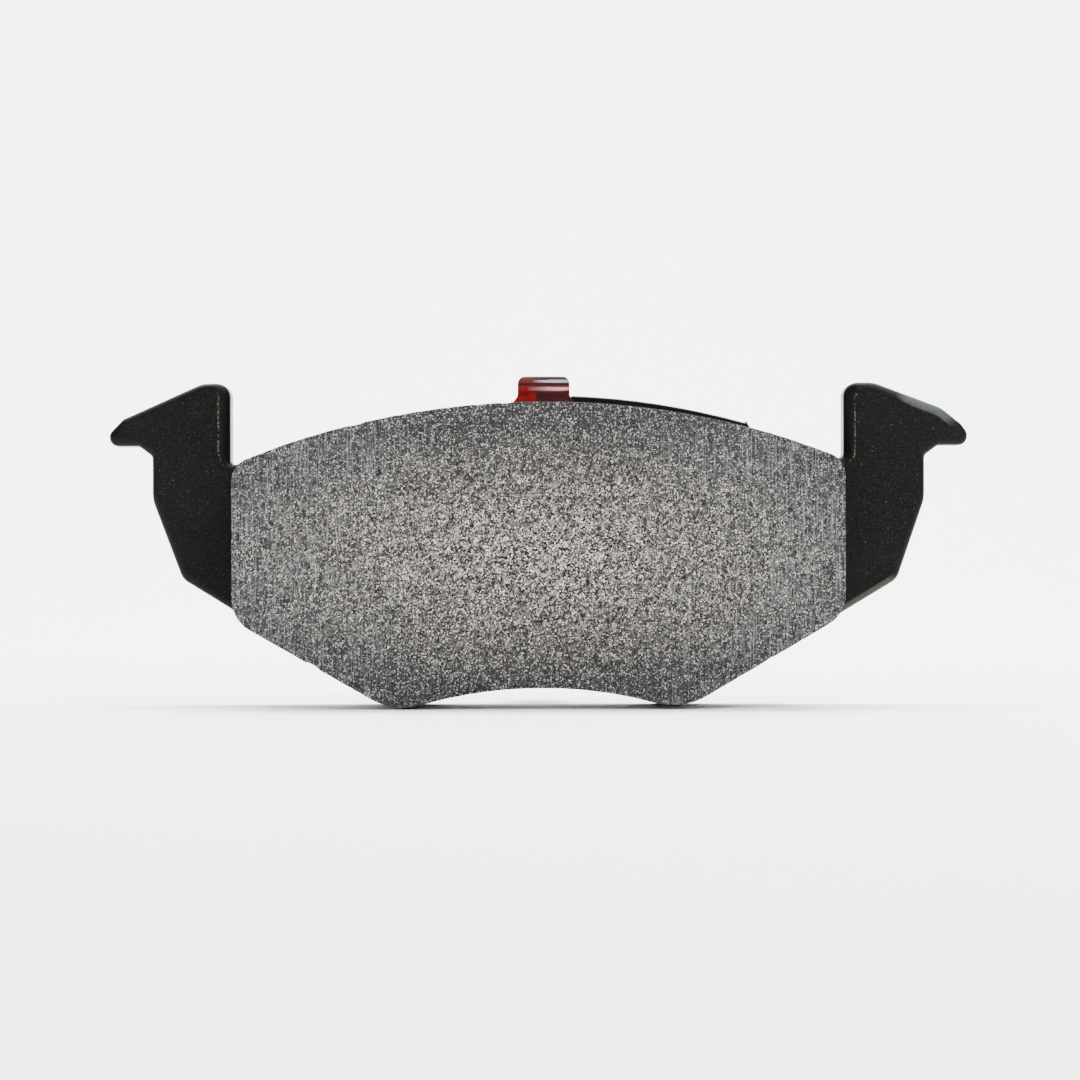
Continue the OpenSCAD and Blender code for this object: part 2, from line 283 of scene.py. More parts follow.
def make_grain():
    """Pressed composite: patches of tone, dark pores, bright metal flecks and warm grains."""
    group, start, end = effect(
        "pressed_grain",
        {"Grain Size": 0.55, "Seed": 0.0},
        {
            "Tone": "NodeSocketFloat", "Pores": "NodeSocketFloat",
            "Flecks": "NodeSocketFloat", "Warm": "NodeSocketFloat",
        },
    )
    link = group.links.new
    place = millimetres(group)
    shift = put(group, "ShaderNodeCombineXYZ", {"X": start["Seed"], "Z": start["Seed"]}).outputs[0]
    moved = put(group, "ShaderNodeVectorMath", {0: place, 1: shift}, operation="ADD").outputs[0]
    at = divided(group, moved, start["Grain Size"])

    wobble = put(group, "ShaderNodeTexNoise", {"Vector": at, "Scale": 1.3, "Detail": 2.0})
    bent = put(group, "ShaderNodeVectorMath", {0: wobble.outputs["Color"], 1: (0.35, 0.35, 0.35), 2: at},
               operation="MULTIPLY_ADD").outputs[0]

    def cells_of(scale):
        """Distance from each cell's middle, and three chances that are constant in a cell."""
        cells = put(group, "ShaderNodeTexVoronoi", {"Vector": bent, "Scale": scale})
        chance = put(group, "ShaderNodeSeparateColor", {"Color": cells.outputs["Color"]})
        return cells.outputs["Distance"], chance.outputs

    def some(chance, share, distance, reach):
        """Roundish marks in that share of the cells."""
        return maths(group, "MULTIPLY", ramp(group, chance, 1.0 - share, 1.02 - share),
                     ramp(group, distance, reach, reach - 0.14))

    coarse, coarse_chance = cells_of(1.0)
    middle, middle_chance = cells_of(2.1)
    small, small_chance = cells_of(3.7)
    fine = noise_of(group, at, 2.6, 4.0, 0.8)

    tone = maths(group, "MULTIPLY", coarse_chance[0], 0.16)
    for value, share in ((middle_chance[0], 0.42), (small_chance[0], 0.24), (fine, 0.18)):
        tone = maths(group, "ADD", tone, maths(group, "MULTIPLY", value, share))
    link(tone, end["Tone"])

    pores = maths(group, "MAXIMUM", some(coarse_chance[1], 0.13, coarse, 0.50),
                  some(middle_chance[1], 0.22, middle, 0.62))
    link(maths(group, "MAXIMUM", pores, some(small_chance[1], 0.16, small, 0.6)), end["Pores"])
    flecks = maths(group, "MAXIMUM", some(middle_chance[2], 0.20, middle, 0.50),
                   some(small_chance[2], 0.20, small, 0.52))
    link(flecks, end["Flecks"])
    link(some(coarse_chance[2], 0.10, coarse, 0.46), end["Warm"])
    return group


def make_relief():
    """Fine uneven surface: a normal, and the height behind it."""
    group, start, end = effect(
        "fine_relief",
        {"Size": 0.4, "Strength": 0.5, "Height mm": 0.05},
        {"Normal": "NodeSocketVector", "Height": "NodeSocketFloat"},
    )
    link = group.links.new
    bumps = noise_of(group, divided(group, millimetres(group), start["Size"]), 1.0, 5.0, 0.62)
    link(bumps, end["Height"])
    bump = put(group, "ShaderNodeBump", {
        "Height": bumps, "Strength": start["Strength"],
        "Distance": maths(group, "MULTIPLY", start["Height mm"], MM),
    })
    link(bump.outputs["Normal"], end["Normal"])
    return group


def make_handling():
    """Broad smudges and settled dust, as a mask that changes over the surface."""
    group, start, end = effect(
        "handling_marks",
        {"Size": 9.0, "Amount": 1.0},
        {"Smudge": "NodeSocketFloat", "Dust": "NodeSocketFloat"},
    )
    link = group.links.new
    place = millimetres(group)
    broad = put(group, "ShaderNodeTexNoise", {
        "Vector": divided(group, place, start["Size"]),
        "Scale": 1.0, "Detail": 3.0, "Roughness": 0.55, "Distortion": 0.6,
    }).outputs["Fac"]
    link(maths(group, "MULTIPLY", ramp(group, broad, 0.35, 0.7), start["Amount"]), end["Smudge"])
    specks = put(group, "ShaderNodeTexVoronoi", {"Vector": place, "Scale": 2.6})
    spot = put(group, "ShaderNodeSeparateColor", {"Color": specks.outputs["Color"]})
    dust = maths(group, "MULTIPLY", ramp(group, spot.outputs[0], 0.955, 0.96),
                 ramp(group, specks.outputs["Distance"], 0.28, 0.12))
    link(maths(group, "MULTIPLY", dust, start["Amount"]), end["Dust"])
    return group


GRAIN = make_grain()
RELIEF = make_relief()
HANDLING = make_handling()


# ---------------------------------------------------------------- finishes

# Colours are linear red, green and blue; heights and reaches inside a finish are in millimetres

def finish_of(name, metallic=0.0, specular=0.5):
    """A new material, its tree and its surface shader."""
    made = bpy.data.materials.new(name)
    made.use_nodes = True
    tree = made.node_tree
    tree.nodes.clear()
    shader = put(tree, "ShaderNodeBsdfPrincipled", {
        "Metallic": metallic, "IOR": 1.5, "Specular IOR Level": specular,
    })
    end = tree.nodes.new("ShaderNodeOutputMaterial")
    tree.links.new(shader.outputs["BSDF"], end.inputs["Surface"])
    return made, tree, shader


def ground_friction():
    """Ground face: grey composite with brassy and steel flecks, pores and upright grinding lines, under a
    painted pool of light in its middle.
    """
    made, tree, shader = finish_of("ground_friction", specular=0.08)
    link = tree.links.new
    grain = use(tree, GRAIN, **{"Grain Size": 0.60, "Seed": 3.0})

    # Upright grinding lines, clearest towards the two ends
    lines = noise_of(tree, millimetres(tree, (4.2, 0.2, 0.10)), detail=3.0, roughness=0.7)
    hair = noise_of(tree, millimetres(tree, (9.0, 0.2, 0.35)))
    place = place_of(tree)
    aside = maths(tree, "ABSOLUTE", place["X"])
    ends = ramp(tree, aside, 14.0, 40.0, 0.3, 1.0)
    scored = maths(tree, "MULTIPLY", ramp(tree, lines, 0.52, 0.72), ends)
    hairs = maths(tree, "MULTIPLY", ramp(tree, hair, 0.55, 0.75), ends)

    # Painted pool of light: the middle is painted brighter, with brighter flecks and warm grains and darker
    # pores, and the rim darker, standing in for the lamps' glare on the face
    half_width, half_height = 52.0, 20.5
    above = maths(tree, "ABSOLUTE", maths(tree, "ADD", place["Z"], 1.2))
    across = maths(tree, "POWER", maths(tree, "DIVIDE", aside, half_width), 2.0)
    upward = maths(tree, "POWER", maths(tree, "DIVIDE", above, half_height), 2.0)
    away = maths(tree, "SQRT", maths(tree, "ADD", across, upward))
    painted_light_pool = ramp(tree, away, 0.10, 1.05, 1.0, 0.0)

    # The grain gathers in clumps
    clumps = noise_of(tree, millimetres(tree), 0.55, 4.0, 0.75)
    clump = ramp(tree, clumps, 0.36, 0.64, 0.35, 1.25)
    tone = maths(tree, "POWER", ramp(tree, grain["Tone"], 0.34, 0.72), 1.35)
    tone = maths(tree, "MULTIPLY", tone, clump)
    scuffed = maths(tree, "MULTIPLY", tone, ramp(tree, aside, 14.0, 42.0, 0.50, 1.0))
    rim_shaded_colour = blend(tree, scuffed, (0.0095, 0.0096, 0.0101), (0.060, 0.0605, 0.0614))
    pool_lit_colour = blend(tree, tone, (0.0002, 0.0002, 0.0002), (0.240, 0.227, 0.207))
    # Painted light: the lit colour in the middle fades into the shaded colour at the rim
    base = blend(tree, painted_light_pool, rim_shaded_colour, pool_lit_colour)
    bright = maths(tree, "MULTIPLY", grain["Flecks"], ramp(tree, painted_light_pool, 0.0, 1.0, 0.34, 1.0))
    bright = maths(tree, "MULTIPLY", bright, ramp(tree, clumps, 0.32, 0.56, 0.30, 1.0))
    lit = blend(tree, bright, base, (0.90, 0.86, 0.79))
    warm = blend(tree, maths(tree, "MULTIPLY", grain["Warm"], painted_light_pool), lit, (0.26, 0.20, 0.13))
    lined = blend(tree, maths(tree, "MULTIPLY", scored, 0.62), warm, (0.24, 0.24, 0.25))
    haired = blend(tree, maths(tree, "MULTIPLY", hairs, 0.35), lined, (0.020, 0.020, 0.021))
    pores = maths(tree, "MULTIPLY", grain["Pores"], ramp(tree, painted_light_pool, 0.0, 1.0, 0.36, 1.0))
    link(blend(tree, pores, haired, (0.001, 0.001, 0.001)), shader.inputs["Base Color"])

    metal = maths(tree, "MULTIPLY", maths(tree, "MAXIMUM", bright, scored), 0.15)
    link(metal, shader.inputs["Metallic"])
    link(ramp(tree, metal, 0.0, 1.0, 0.75, 0.42), shader.inputs["Roughness"])

    height = maths(tree, "SUBTRACT", maths(tree, "MULTIPLY", tone, 0.5), grain["Pores"])
    height = maths(tree, "SUBTRACT", height, maths(tree, "MULTIPLY", scored, 0.3))
    bump = put(tree, "ShaderNodeBump", {"Height": height, "Strength": 0.6, "Distance": 0.06 * MM})
    link(bump.outputs["Normal"], shader.inputs["Normal"])
    return made


def pressed_friction(name, low, high, seed):
    """Pressed and baked composite on the sides: dark, rough and dry."""
    made, tree, shader = finish_of(name, specular=0.1)
    link = tree.links.new
    grain = use(tree, GRAIN, **{"Grain Size": 0.8, "Seed": seed})
    relief = use(tree, RELIEF, **{"Size": 0.7, "Strength": 0.8, "Height mm": 0.12})
    marks = use(tree, HANDLING, Size=7.0, Amount=0.6)
    base = blend(tree, ramp(tree, grain["Tone"], 0.2, 0.85), low, high)
    flecked = blend(tree, maths(tree, "MULTIPLY", grain["Flecks"], 0.35), base, (0.10, 0.098, 0.092))
    pitted = blend(tree, maths(tree, "MULTIPLY", grain["Pores"], 0.8), flecked, (0.01, 0.01, 0.01))
    link(blend(tree, maths(tree, "MULTIPLY", marks["Smudge"], 0.3), pitted, (0.040, 0.039, 0.037)),
         shader.inputs["Base Color"])
    link(ramp(tree, relief["Height"], 0.3, 0.7, 0.95, 0.72), shader.inputs["Roughness"])
    link(relief["Normal"], shader.inputs["Normal"])
    return made


def plate_paint():
    """Black stoved paint over blasted steel: grainy and sparkling on the face, smooth on the roll."""
    made, tree, shader = finish_of("stoved_black_paint", specular=0.055)
    link = tree.links.new
    roll = attribute(tree, "roll")
    relief = use(tree, RELIEF, **{"Size": 0.30, "Strength": 0.75, "Height mm": 0.06})
    marks = use(tree, HANDLING, Size=11.0, Amount=1.0)
    face = ramp(tree, roll, 0.02, 0.25, 1.0, 0.0)

    def glints(scale, share):
        """Bright grit in that share of the cells, on the flat face only."""
        grit = put(tree, "ShaderNodeTexVoronoi", {"Vector": millimetres(tree), "Scale": scale})
        pick = put(tree, "ShaderNodeSeparateColor", {"Color": grit.outputs["Color"]})
        shown = maths(tree, "MULTIPLY", ramp(tree, pick.outputs[0], 1.0 - share, 1.0),
                      ramp(tree, grit.outputs["Distance"], 0.5, 0.25))
        return maths(tree, "MULTIPLY", shown, face)

    spark = maths(tree, "MAXIMUM", glints(7.0, 0.20), maths(tree, "MULTIPLY", glints(3.4, 0.012), 1.6))

    raised = ramp(tree, relief["Height"], 0.35, 0.65)
    coat = blend(tree, raised, (0.0004, 0.0004, 0.0004), (0.0046, 0.0047, 0.0041))
    smudged = blend(tree, maths(tree, "MULTIPLY", marks["Smudge"], 0.35), coat, (0.0058, 0.0060, 0.0052))
    dusty = blend(tree, maths(tree, "MULTIPLY", marks["Dust"], 0.25), smudged, (0.03, 0.029, 0.026))
    sparkling = blend(tree, maths(tree, "MULTIPLY", spark, 0.55), dusty, (0.075, 0.073, 0.064))

    # Paint is thin and chipped where the face breaks over into a sheared wall
    crest = maths(tree, "MULTIPLY", ramp(tree, roll, 0.0, 0.05), ramp(tree, roll, 0.12, 0.06))
    crest = maths(tree, "MULTIPLY", crest, attribute(tree, "sheared"))
    bite = noise_of(tree, millimetres(tree), 2.6, 5.0, 0.75)
    chipped = maths(tree, "MULTIPLY", crest, ramp(tree, bite, 0.50, 0.56))
    bare = blend(tree, maths(tree, "MULTIPLY", chipped, 0.8), sparkling, (0.12, 0.115, 0.10))

    # The right ear's roll is coloured lighter grey in strips, browner low down and bluer higher up
    pale_patches = maths(tree, "MULTIPLY", attribute(tree, "edge_marks"), ramp(tree, roll, 0.05, 0.16))
    pale_patches = maths(tree, "MULTIPLY", pale_patches, ramp(tree, bite, 0.36, 0.46, 0.55, 1.0))
    upper = ramp(tree, place_of(tree)["Z"], -2.0, 10.0)
    steel = blend(tree, upper, (0.034, 0.030, 0.026), (0.036, 0.040, 0.041))
    link(blend(tree, pale_patches, bare, steel), shader.inputs["Base Color"])
    link(maths(tree, "MAXIMUM", maths(tree, "MULTIPLY", spark, 0.8), chipped), shader.inputs["Metallic"])
    smooth = ramp(tree, roll, 0.05, 0.45, 0.55, 0.30)
    rough = maths(tree, "ADD", smooth, maths(tree, "MULTIPLY", marks["Smudge"], 0.10))
    link(rough, shader.inputs["Roughness"])

    height = maths(tree, "MULTIPLY", relief["Height"], ramp(tree, roll, 0.0, 0.5, 1.0, 0.12))
    bump = put(tree, "ShaderNodeBump", {"Height": height, "Strength": 0.9, "Distance": 0.09 * MM})
    link(bump.outputs["Normal"], shader.inputs["Normal"])
    return made


def spring_lacquer():
    """Red lacquer on spring steel: glossy behind; painted reflection and shade bands on the tongue's front,
    two of them bare steel, and painted shade on top of the hoop.
    """
    made, tree, shader = finish_of("red_lacquer_on_steel", specular=0.008)
    link = tree.links.new
    shader.inputs["Coat Roughness"].default_value = 0.2
    relief = use(tree, RELIEF, **{"Size": 1.4, "Strength": 0.10, "Height mm": 0.03})
    marks = use(tree, HANDLING, Size=5.0, Amount=1.0)
    place = place_of(tree)
    x, y, z = place["X"], place["Y"], place["Z"]
    ripple = noise_of(tree, millimetres(tree, (0.35, 1.0, 1.2)), detail=3.0)
    level = maths(tree, "ADD", z, maths(tree, "MULTIPLY", maths(tree, "SUBTRACT", ripple, 0.5), 0.35))
    front = ramp(tree, y, PLATE_FRONT / MM + 2.4, PLATE_FRONT / MM + 3.2, 1.0, 0.0)
    rightward = ramp(tree, x, TONGUE_X / MM - 3.5, TONGUE_X / MM + 2.5)

    def band(heights, soft):
        """The strip between two heights, with soft edges."""
        low, high = heights
        return maths(tree, "MULTIPLY", ramp(tree, level, low - soft, low + soft),
                     ramp(tree, level, high + soft, high - soft))

    # Red, with painted shade on the right of its foot; across the tongue's front, painted reflection bands: a
    # dark line, two bands of bare metallic steel set where reflections fall, and a dark brow
    red = blend(tree, ramp(tree, ripple, 0.35, 0.65), (0.092, 0.0048, 0.0052), (0.140, 0.0080, 0.0080))
    foot = maths(tree, "MULTIPLY", band(FOOT_BAND, 0.05), ramp(tree, x, -0.5, -0.3))
    foot = maths(tree, "MULTIPLY", foot, front)
    shaded = blend(tree, maths(tree, "MULTIPLY", foot, 0.95), red, (0.024, 0.0088, 0.0088))
    dark = maths(tree, "MULTIPLY", band(DARK_BAND, 0.08), front)
    striped = blend(tree, maths(tree, "MULTIPLY", dark, 0.9), shaded, (0.008, 0.007, 0.0075))
    low_reflection_band = maths(tree, "MULTIPLY", band(LOW_STEEL_BAND, 0.08), ramp(tree, rightward, 0.1, 0.5))
    high_reflection_band = maths(tree, "MULTIPLY", band(HIGH_STEEL_BAND, 0.06), ramp(tree, rightward, 0.25, 0.6))
    brow = maths(tree, "MULTIPLY", band(BROW_BAND, 0.06), ramp(tree, rightward, 0.1, 0.4))
    brow = maths(tree, "MULTIPLY", brow, front)
    striped = blend(tree, maths(tree, "MULTIPLY", brow, 0.8), striped, (0.010, 0.0025, 0.0025))
    bare = maths(tree, "MULTIPLY", maths(tree, "MAXIMUM", low_reflection_band, high_reflection_band), front)
    pale_patches = maths(tree, "MULTIPLY", ramp(tree, marks["Smudge"], 0.86, 0.96), 0.45)
    pale_patches = maths(tree, "MULTIPLY", pale_patches, maths(tree, "SUBTRACT", 1.0, front))
    steel = maths(tree, "MAXIMUM", bare, pale_patches)
    coloured = blend(tree, steel, striped, (0.13, 0.13, 0.155))

    # Painted shade: the hoop is painted darker where it turns over, and darkest on its crown, where the light
    # from above falls strongest
    top_painted_shade = ramp(tree, z, 27.4, 28.3, 0.0, 0.62)
    top_shaded = blend(tree, top_painted_shade, coloured, (0.004, 0.0012, 0.0012))
    crown_painted_shade = maths(tree, "MULTIPLY", ramp(tree, z, 28.6, 28.75), ramp(tree, rightward, 0.15, 0.45))
    link(blend(tree, crown_painted_shade, top_shaded, (0.004, 0.001, 0.001)), shader.inputs["Base Color"])
    steel = maths(tree, "MULTIPLY", steel, maths(tree, "SUBTRACT", 1.0, crown_painted_shade))
    link(steel, shader.inputs["Metallic"])
    gloss = maths(tree, "MULTIPLY", maths(tree, "SUBTRACT", 1.0, front), ramp(tree, z, 27.2, 26.4, 0.0, 0.35))
    link(gloss, shader.inputs["Coat Weight"])
    link(ramp(tree, ripple, 0.3, 0.7, 0.38, 0.52), shader.inputs["Roughness"])
    link(relief["Normal"], shader.inputs["Normal"])
    return made


def bright_rivet():
    """Zinc-plated rivet head, faintly uneven, with dulled patches."""
    made, tree, shader = finish_of("zinc_plated_rivet", metallic=1.0)
    link = tree.links.new
    relief = use(tree, RELIEF, **{"Size": 0.5, "Strength": 0.4, "Height mm": 0.03})
    marks = use(tree, HANDLING, Size=3.0, Amount=1.0)
    link(blend(tree, marks["Smudge"], (0.20, 0.20, 0.205), (0.11, 0.107, 0.104)), shader.inputs["Base Color"])
    link(ramp(tree, marks["Smudge"], 0.0, 1.0, 0.26, 0.45), shader.inputs["Roughness"])
    link(relief["Normal"], shader.inputs["Normal"])
    return made


def shim_rubber_face():
    """Thin black rubber coating with faint slanting roller bands, scuffs and dust."""
    made, tree, shader = finish_of("shim_rubber_coating", specular=0.12)
    link = tree.links.new
    relief = use(tree, RELIEF, **{"Size": 0.3, "Strength": 0.4, "Height mm": 0.03})
    marks = use(tree, HANDLING, Size=8.0, Amount=1.0)
    bands = put(tree, "ShaderNodeTexWave", {
        "Vector": millimetres(tree), "Scale": 0.9, "Distortion": 1.2, "Detail": 2.0,
    }, bands_direction="DIAGONAL").outputs["Fac"]
    raised = ramp(tree, relief["Height"], 0.35, 0.65)
    tone = blend(tree, raised, (0.004, 0.004, 0.0045), (0.009, 0.009, 0.010))
    scuffed = blend(tree, maths(tree, "MULTIPLY", marks["Smudge"], 0.4), tone, (0.020, 0.020, 0.0215))
    link(blend(tree, maths(tree, "MULTIPLY", marks["Dust"], 0.7), scuffed, (0.06, 0.06, 0.06)),
         shader.inputs["Base Color"])
    link(ramp(tree, bands, 0.0, 1.0, 0.46, 0.60), shader.inputs["Roughness"])
    link(relief["Normal"], shader.inputs["Normal"])
    return made


def shim_steel_edge():
    """Cold-rolled steel, seen only at the shim's cut edge."""
    made, tree, shader = finish_of("cold_rolled_steel", metallic=1.0)
    link = tree.links.new
    relief = use(tree, RELIEF, **{"Size": 0.25, "Strength": 0.5, "Height mm": 0.02})
    marks = use(tree, HANDLING, Size=4.0, Amount=1.0)
    link(blend(tree, marks["Smudge"], (0.50, 0.51, 0.52), (0.26, 0.24, 0.22)), shader.inputs["Base Color"])
    link(ramp(tree, relief["Height"], 0.3, 0.7, 0.25, 0.45), shader.inputs["Roughness"])
    link(relief["Normal"], shader.inputs["Normal"])
    return made


def cured_resin(name, pale, dark, rough):
    """Thin layer of adhesive or resin, uneven in tone where it squeezed out."""
    made, tree, shader = finish_of(name)
    link = tree.links.new
    relief = use(tree, RELIEF, **{"Size": 0.6, "Strength": 0.5, "Height mm": 0.04})
    marks = use(tree, HANDLING, Size=3.0, Amount=1.0)
    link(blend(tree, ramp(tree, marks["Smudge"], 0.1, 0.9), pale, dark), shader.inputs["Base Color"])
    link(ramp(tree, relief["Height"], 0.3, 0.7, rough - 0.1, rough + 0.1), shader.inputs["Roughness"])
    link(relief["Normal"], shader.inputs["Normal"])
    return made


def studio_paper():
    """Pale seamless paper with the faintest tooth."""
    made, tree, shader = finish_of("pale_studio_paper")
    relief = use(tree, RELIEF, **{"Size": 1.5, "Strength": 0.05, "Height mm": 0.02})
    tooth = ramp(tree, relief["Height"], 0.3, 0.7)
    tree.links.new(blend(tree, tooth, (0.90, 0.90, 0.895), (0.93, 0.93, 0.925)), shader.inputs["Base Color"])
    shader.inputs["Roughness"].default_value = 0.9
    return made


# ---------------------------------------------------------------- mesh helpers


def outline_of(node, plane):
    """The outer edge of a CAD node's flat face on a plane of constant Y: (x, z) points, clockwise."""
    work = bmesh.new()
    work.from_mesh(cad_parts[node].data)
    bmesh.ops.remove_doubles(work, verts=work.verts, dist=0.002 * MM)

    def flat(part):
        """Whether an edge or face lies in the plane."""
        return all(abs(v.co.y - plane) < 0.004 * MM for v in part.verts)

    after = {}
    for edge in work.edges:
        sides = [flat(face) for face in edge.link_faces]
        if len(sides) == 2 and sides.count(True) == 1:
            for a, b in (edge.verts, reversed(edge.verts)):
                after.setdefault(a.index, []).append(b.index)
    points = {v.index: (v.co.x, v.co.z) for v in work.verts}
    work.free()

    loops, seen = [], set()
    for first in after:
        if first in seen:
            continue
        loop, here, came = [], first, None
        while here not in seen:
            seen.add(here)
            loop.append(points[here])
            onward = [n for n in after[here] if n != came and n not in seen]
            came = here
            if not onward:
                break
            here = onward[0]
        loops.append(loop)
    outer = max(loops, key=lambda loop: abs(signed_area(loop)))
    return outer if signed_area(outer) < 0 else outer[::-1]


def signed_area(loop):
    """The area inside a loop, below zero where it runs clockwise."""
    return sum(a[0] * b[1] - b[0] * a[1] for a, b in zip(loop, loop[1:] + loop[:1])) / 2


def spaced(loop, step):
    """The loop with its long stretches divided evenly, so no gap is longer than step."""
    made = []
    for a, b in zip(loop, loop[1:] + loop[:1]):
        count = max(1, math.ceil(math.dist(a, b) / step))
        made += [(a[0] + (b[0] - a[0]) * i / count, a[1] + (b[1] - a[1]) * i / count) for i in range(count)]
    return made


def outward(loop, spread=1):
    """Unit normals of a clockwise loop, pointing out of it."""
    count = len(loop)
    made = []
    for i in range(count):
        a, b = loop[i - spread], loop[(i + spread) % count]
        dx, dz = b[0] - a[0], b[1] - a[1]
        size = math.hypot(dx, dz) or 1.0
        made.append((-dz / size, dx / size))
    return made


def drawn_in(loop, normals, widths, share=1.0, extra=0.0):
    """The loop moved inwards by a share of each point's own width, and by an extra amount."""
    return [(x - nx * (w * share + extra), z - nz * (w * share + extra))
            for (x, z), (nx, nz), w in zip(loop, normals, widths)]


def new_piece(name, work, slot_name, *finishes):
    """An object from a bmesh, riding on the pad, with its finishes; its slot name is not used."""
    bmesh.ops.recalc_face_normals(work, faces=work.faces)
    mesh = bpy.data.meshes.new(name)
    work.to_mesh(mesh)
    work.free()
    made = bpy.data.objects.new(name, mesh)
    bpy.context.scene.collection.objects.link(made)
    for finish in finishes:
        mesh.materials.append(finish)
    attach(made, BODY)
    return made


def ring(work, loop, y):
    """The loop as points at one depth."""
    return [work.verts.new((x, y, z)) for x, z in loop]


def skin(work, first, second, smooth=True, material=0):
    """Faces between two rings of equal length."""
    count = len(first)
    for i in range(count):
        face = work.faces.new((first[i], first[(i + 1) % count], second[(i + 1) % count], second[i]))
        face.smooth = smooth
        face.material_index = material


def cap(work, loop, material=0):
    """A flat end of a ring, cut into triangles."""
    flat = [Vector((v.co.x, v.co.z)) for v in loop]
    places, _, triangles, sources, _, _ = delaunay_2d_cdt(flat, [], [list(range(len(loop)))], 1, 1e-9)
    corners = [loop[from_[0]] if from_ else work.verts.new((place.x, loop[0].co.y, place.y))
               for place, from_ in zip(places, sources)]
    for triangle in triangles:
        face = work.faces.new([corners[i] for i in triangle])
        face.material_index = material


def closed(work, rings):
    """A smooth solid through the rings, with flat ends."""
    for a, b in zip(rings, rings[1:]):
        skin(work, a, b)
    cap(work, rings[0])
    cap(work, rings[-1])


def held(value):
    """The value, held between 0 and 1."""
    return min(1.0, max(0.0, value))


# ---------------------------------------------------------------- friction block


def broken_edge(x, z):
    """How far the ground edge has crumbled away at a place on the outline."""
    uneven = 0.5 + 0.5 * noise.noise(Vector((x / CRUMB, z / CRUMB, 1.7)))
    chance = 0.5 + 0.5 * noise.noise(Vector((x / CHIP_SPACING, z / CHIP_SPACING, 8.3)))
    band = CHIP_CHANCE * 3.0  # the noise seldom nears 1, so the band is wider than the share it takes
    chip = max(0.0, chance - (1.0 - band)) / band
    nick = max(0.0, 1.0 - math.dist((x, z), NICK_PLACE) / NICK_REACH)
    return BLOCK_ROUGH * uneven + CHIP_DEPTH * chip + NICK_DEPTH * math.sqrt(nick)


def make_block(face_finish, side_finish):
    """The friction block with a sharp, slightly crumbled edge round its ground face."""
    front, back = BLOCK_LOW[1], BLOCK_HIGH[1]
    loop = spaced(outline_of("friction_block", front), BLOCK_STEP)
    normals = outward(loop, 2)
    edge_marks = [broken_edge(x, z) for x, z in loop]

    def side_inset(x, z, wear, share):
        """Wear from the face's edge dies out along the side, and shallow lumps take its place."""
        lump = 0.5 + 0.5 * noise.noise(Vector((x / LUMP, share * 5.0, z / LUMP)))
        fade = max(0.0, 0.55 - share * 1.6)
        return wear * fade + (LUMP_DEPTH * lump if share < 1.0 else 0.02 * MM)

    work = bmesh.new()
    rings = [ring(work, drawn_in(loop, normals, edge_marks, 1.0, BLOCK_ARRIS * 0.5), front),
             ring(work, drawn_in(loop, normals, edge_marks, 0.8), front + BLOCK_ARRIS)]
    for share in SIDE_STATIONS:
        insets = [side_inset(x, z, wear, share) for (x, z), wear in zip(loop, edge_marks)]
        rings.append(ring(work, drawn_in(loop, normals, insets), front + (back - front) * share))
    cap(work, rings[0])
    for index, (a, b) in enumerate(zip(rings, rings[1:])):
        skin(work, a, b, smooth=index > 0, material=1)
    cap(work, rings[-1], material=1)
    made = new_piece("friction_block_ground", work, "friction", face_finish, side_finish)
    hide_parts("friction_block")


# ---------------------------------------------------------------- backing plate


def on_wall(x, z, wall):
    """1 on the ears' inner walls, fading to 0 round their corners."""
    sideways = held((wall + 2 * MM - abs(x)) / MM) * held((abs(x) - BLOCK_HALF) / MM)
    return sideways * held((z - WALL_FOOT) / (2 * MM))


def on_slope(x, z):
    """1 along the right ear's fuller slope."""
    from_x, from_z = SLOPE_FROM
    return held((x - from_x) / (4 * MM)) * held((z - from_z) / (1.5 * MM))


def pale_roll_strips(x, z):
    """Where the right ear's roll is coloured lighter grey: on its upper slope and along its lower edge."""
    from_x, to_x, above = PALE_SLOPE
    upper = held((x - from_x) / (2 * MM)) * held((to_x - x) / (1.5 * MM)) * held((z - above) / MM)
    from_x, to_x, below = PALE_FOOT
    lower = held((x - from_x) / MM) * held((below - z) / (1.2 * MM)) * held((to_x - x) / (1.2 * MM))
    return max(upper, lower * 0.95)


def roll_width(x, z, wall):
    """How far the rolled edge reaches in from the outline: least along the block, most on the walls."""
    share = held((abs(x) - BLOCK_HALF + 0.5 * MM) / (1.5 * MM))
    full = (ROLL_WALL - ROLL_EARS) * share * on_wall(x, z, wall) + ROLL_SLOPE * on_slope(x, z)
    return ROLL_BLOCK + (ROLL_EARS - ROLL_BLOCK) * share + full


